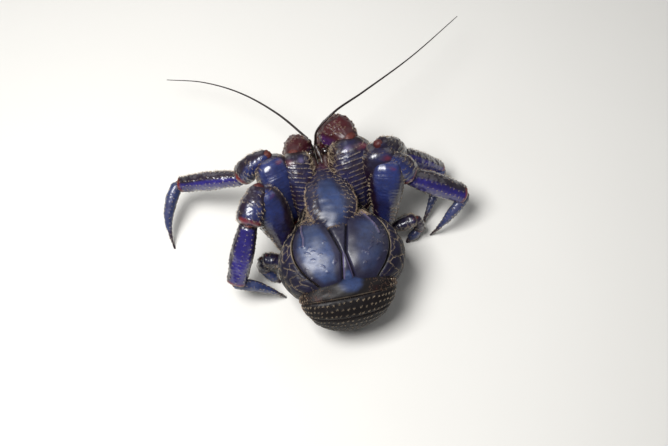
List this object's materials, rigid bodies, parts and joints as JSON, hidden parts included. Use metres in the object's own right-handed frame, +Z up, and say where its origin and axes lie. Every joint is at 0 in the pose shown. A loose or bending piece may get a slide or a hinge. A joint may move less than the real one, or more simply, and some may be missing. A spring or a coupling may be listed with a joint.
{
  "type": "coconut crab",
  "caption": "Life-size still model of a coconut crab at rest on the ground, claws tucked, legs spread and abdomen curled under.",
  "frame": {"origin": "on the floor, in the flat under the belly on which the crab rests, in its middle plane", "axes": "+Z up, +Y towards the head, -X towards the crab's left"},
  "size_m": [0.3007, 0.278, 0.0919],
  "materials": {
    "plate": "glossy slate-blue shell plates",
    "flank": "dark shell with a net of pale bristles",
    "tail": "black-brown plates with rows of small pale bristles",
    "skin": "soft folded skin between and under the plates",
    "leg": "glossy violet-blue leg shell",
    "claw": "maroon claw shell with rows of tubercles",
    "feeler": "dark brown feelers",
    "eye": "glossy black eyes"
  },
  "bodies": {
    "root": {"abdomen_skin": "skin", "antenna_base_left": "feeler", "antenna_base_right": "feeler", "antennule_left": "feeler", "antennule_right": "feeler", "carapace_flank_left": "flank", "carapace_flank_right": "flank", "carapace_gill_left": "plate", "carapace_gill_right": "plate", "carapace_heart": "plate", "claw_left_carpus": "claw", "claw_left_finger": "claw", "claw_left_merus": "leg", "claw_left_palm": "claw", "claw_right_carpus": "claw", "claw_right_finger": "claw", "claw_right_merus": "leg", "claw_right_palm": "claw", "eye_left": "eye", "eye_right": "eye", "eyestalk_left": "skin", "eyestalk_right": "skin", "face": "skin", "flagellum_left": "feeler", "flagellum_right": "feeler", "leg_2_left_carpus": "leg", "leg_2_left_dactyl": "leg", "leg_2_left_merus": "leg", "leg_2_left_propodus": "leg", "leg_2_right_carpus": "leg", "leg_2_right_dactyl": "leg", "leg_2_right_merus": "leg", "leg_2_right_propodus": "leg", "leg_3_left_carpus": "leg", "leg_3_left_dactyl": "leg", "leg_3_left_merus": "leg", "leg_3_left_propodus": "leg", "leg_3_right_carpus": "leg", "leg_3_right_dactyl": "leg", "leg_3_right_merus": "leg", "leg_3_right_propodus": "leg", "leg_4_left_carpus": "leg", "leg_4_left_merus": "leg", "leg_4_left_pincer": "leg", "leg_4_right_carpus": "leg", "leg_4_right_merus": "leg", "leg_4_right_pincer": "leg", "maxilliped_left": "skin", "maxilliped_right": "skin", "shield": "plate", "tail_fan": "tail", "tergite_1": "tail", "tergite_2": "tail", "tergite_3": "tail", "tergite_4": "tail", "tergite_5": "tail", "thorax_underside": "skin"}
  },
  "joints": []
}
